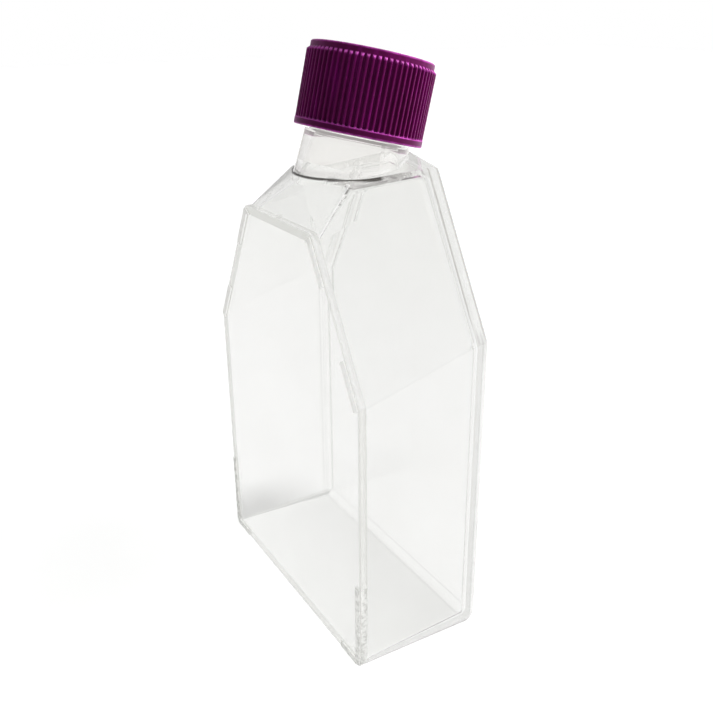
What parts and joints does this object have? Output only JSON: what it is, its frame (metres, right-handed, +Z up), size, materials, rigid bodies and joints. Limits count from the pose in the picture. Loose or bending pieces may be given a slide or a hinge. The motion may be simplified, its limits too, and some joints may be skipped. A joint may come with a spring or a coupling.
{
  "type": "cell culture flask",
  "caption": "Clear angled-neck culture flask: flat six-sided body with a welded growth plate, short leaning neck and a ribbed purple screw cap.",
  "frame": {"origin": "middle of the flat bottom end that the flask stands on", "axes": "+Z up from the bottom end to the neck, the growth plate faces -Y, the neck leans towards +Y, X across the flask"},
  "size_m": [0.08, 0.0441, 0.1517],
  "materials": {
    "shell": "clear, glossy",
    "plate": "clear, glossy, feet frosted",
    "cap": "glossy purple, moulded ribs",
    "liner": "soft, matt white"
  },
  "bodies": {
    "flask": {"flask_shell": "shell", "growth_plate": "plate"},
    "liner": {"cap_liner": "liner"},
    "cap": {"screw_cap": "cap"}
  },
  "joints": [
    {"name": "cap_lift", "type": "slide", "parent": "flask", "child": "liner", "axis": [0, 0.2334, 0.9724], "range_m": [0, 0.02101]},
    {"name": "cap_turn", "type": "hinge", "parent": "liner", "child": "cap", "pos_m": [0, 0.0032, 0.12047], "axis": [0, 0.2334, 0.9724], "range_deg": [0, 1890]}
  ],
  "couplings": [
    {"joint": "cap_lift", "follows": "cap_turn", "m_per_rad": 0.00063662}
  ]
}
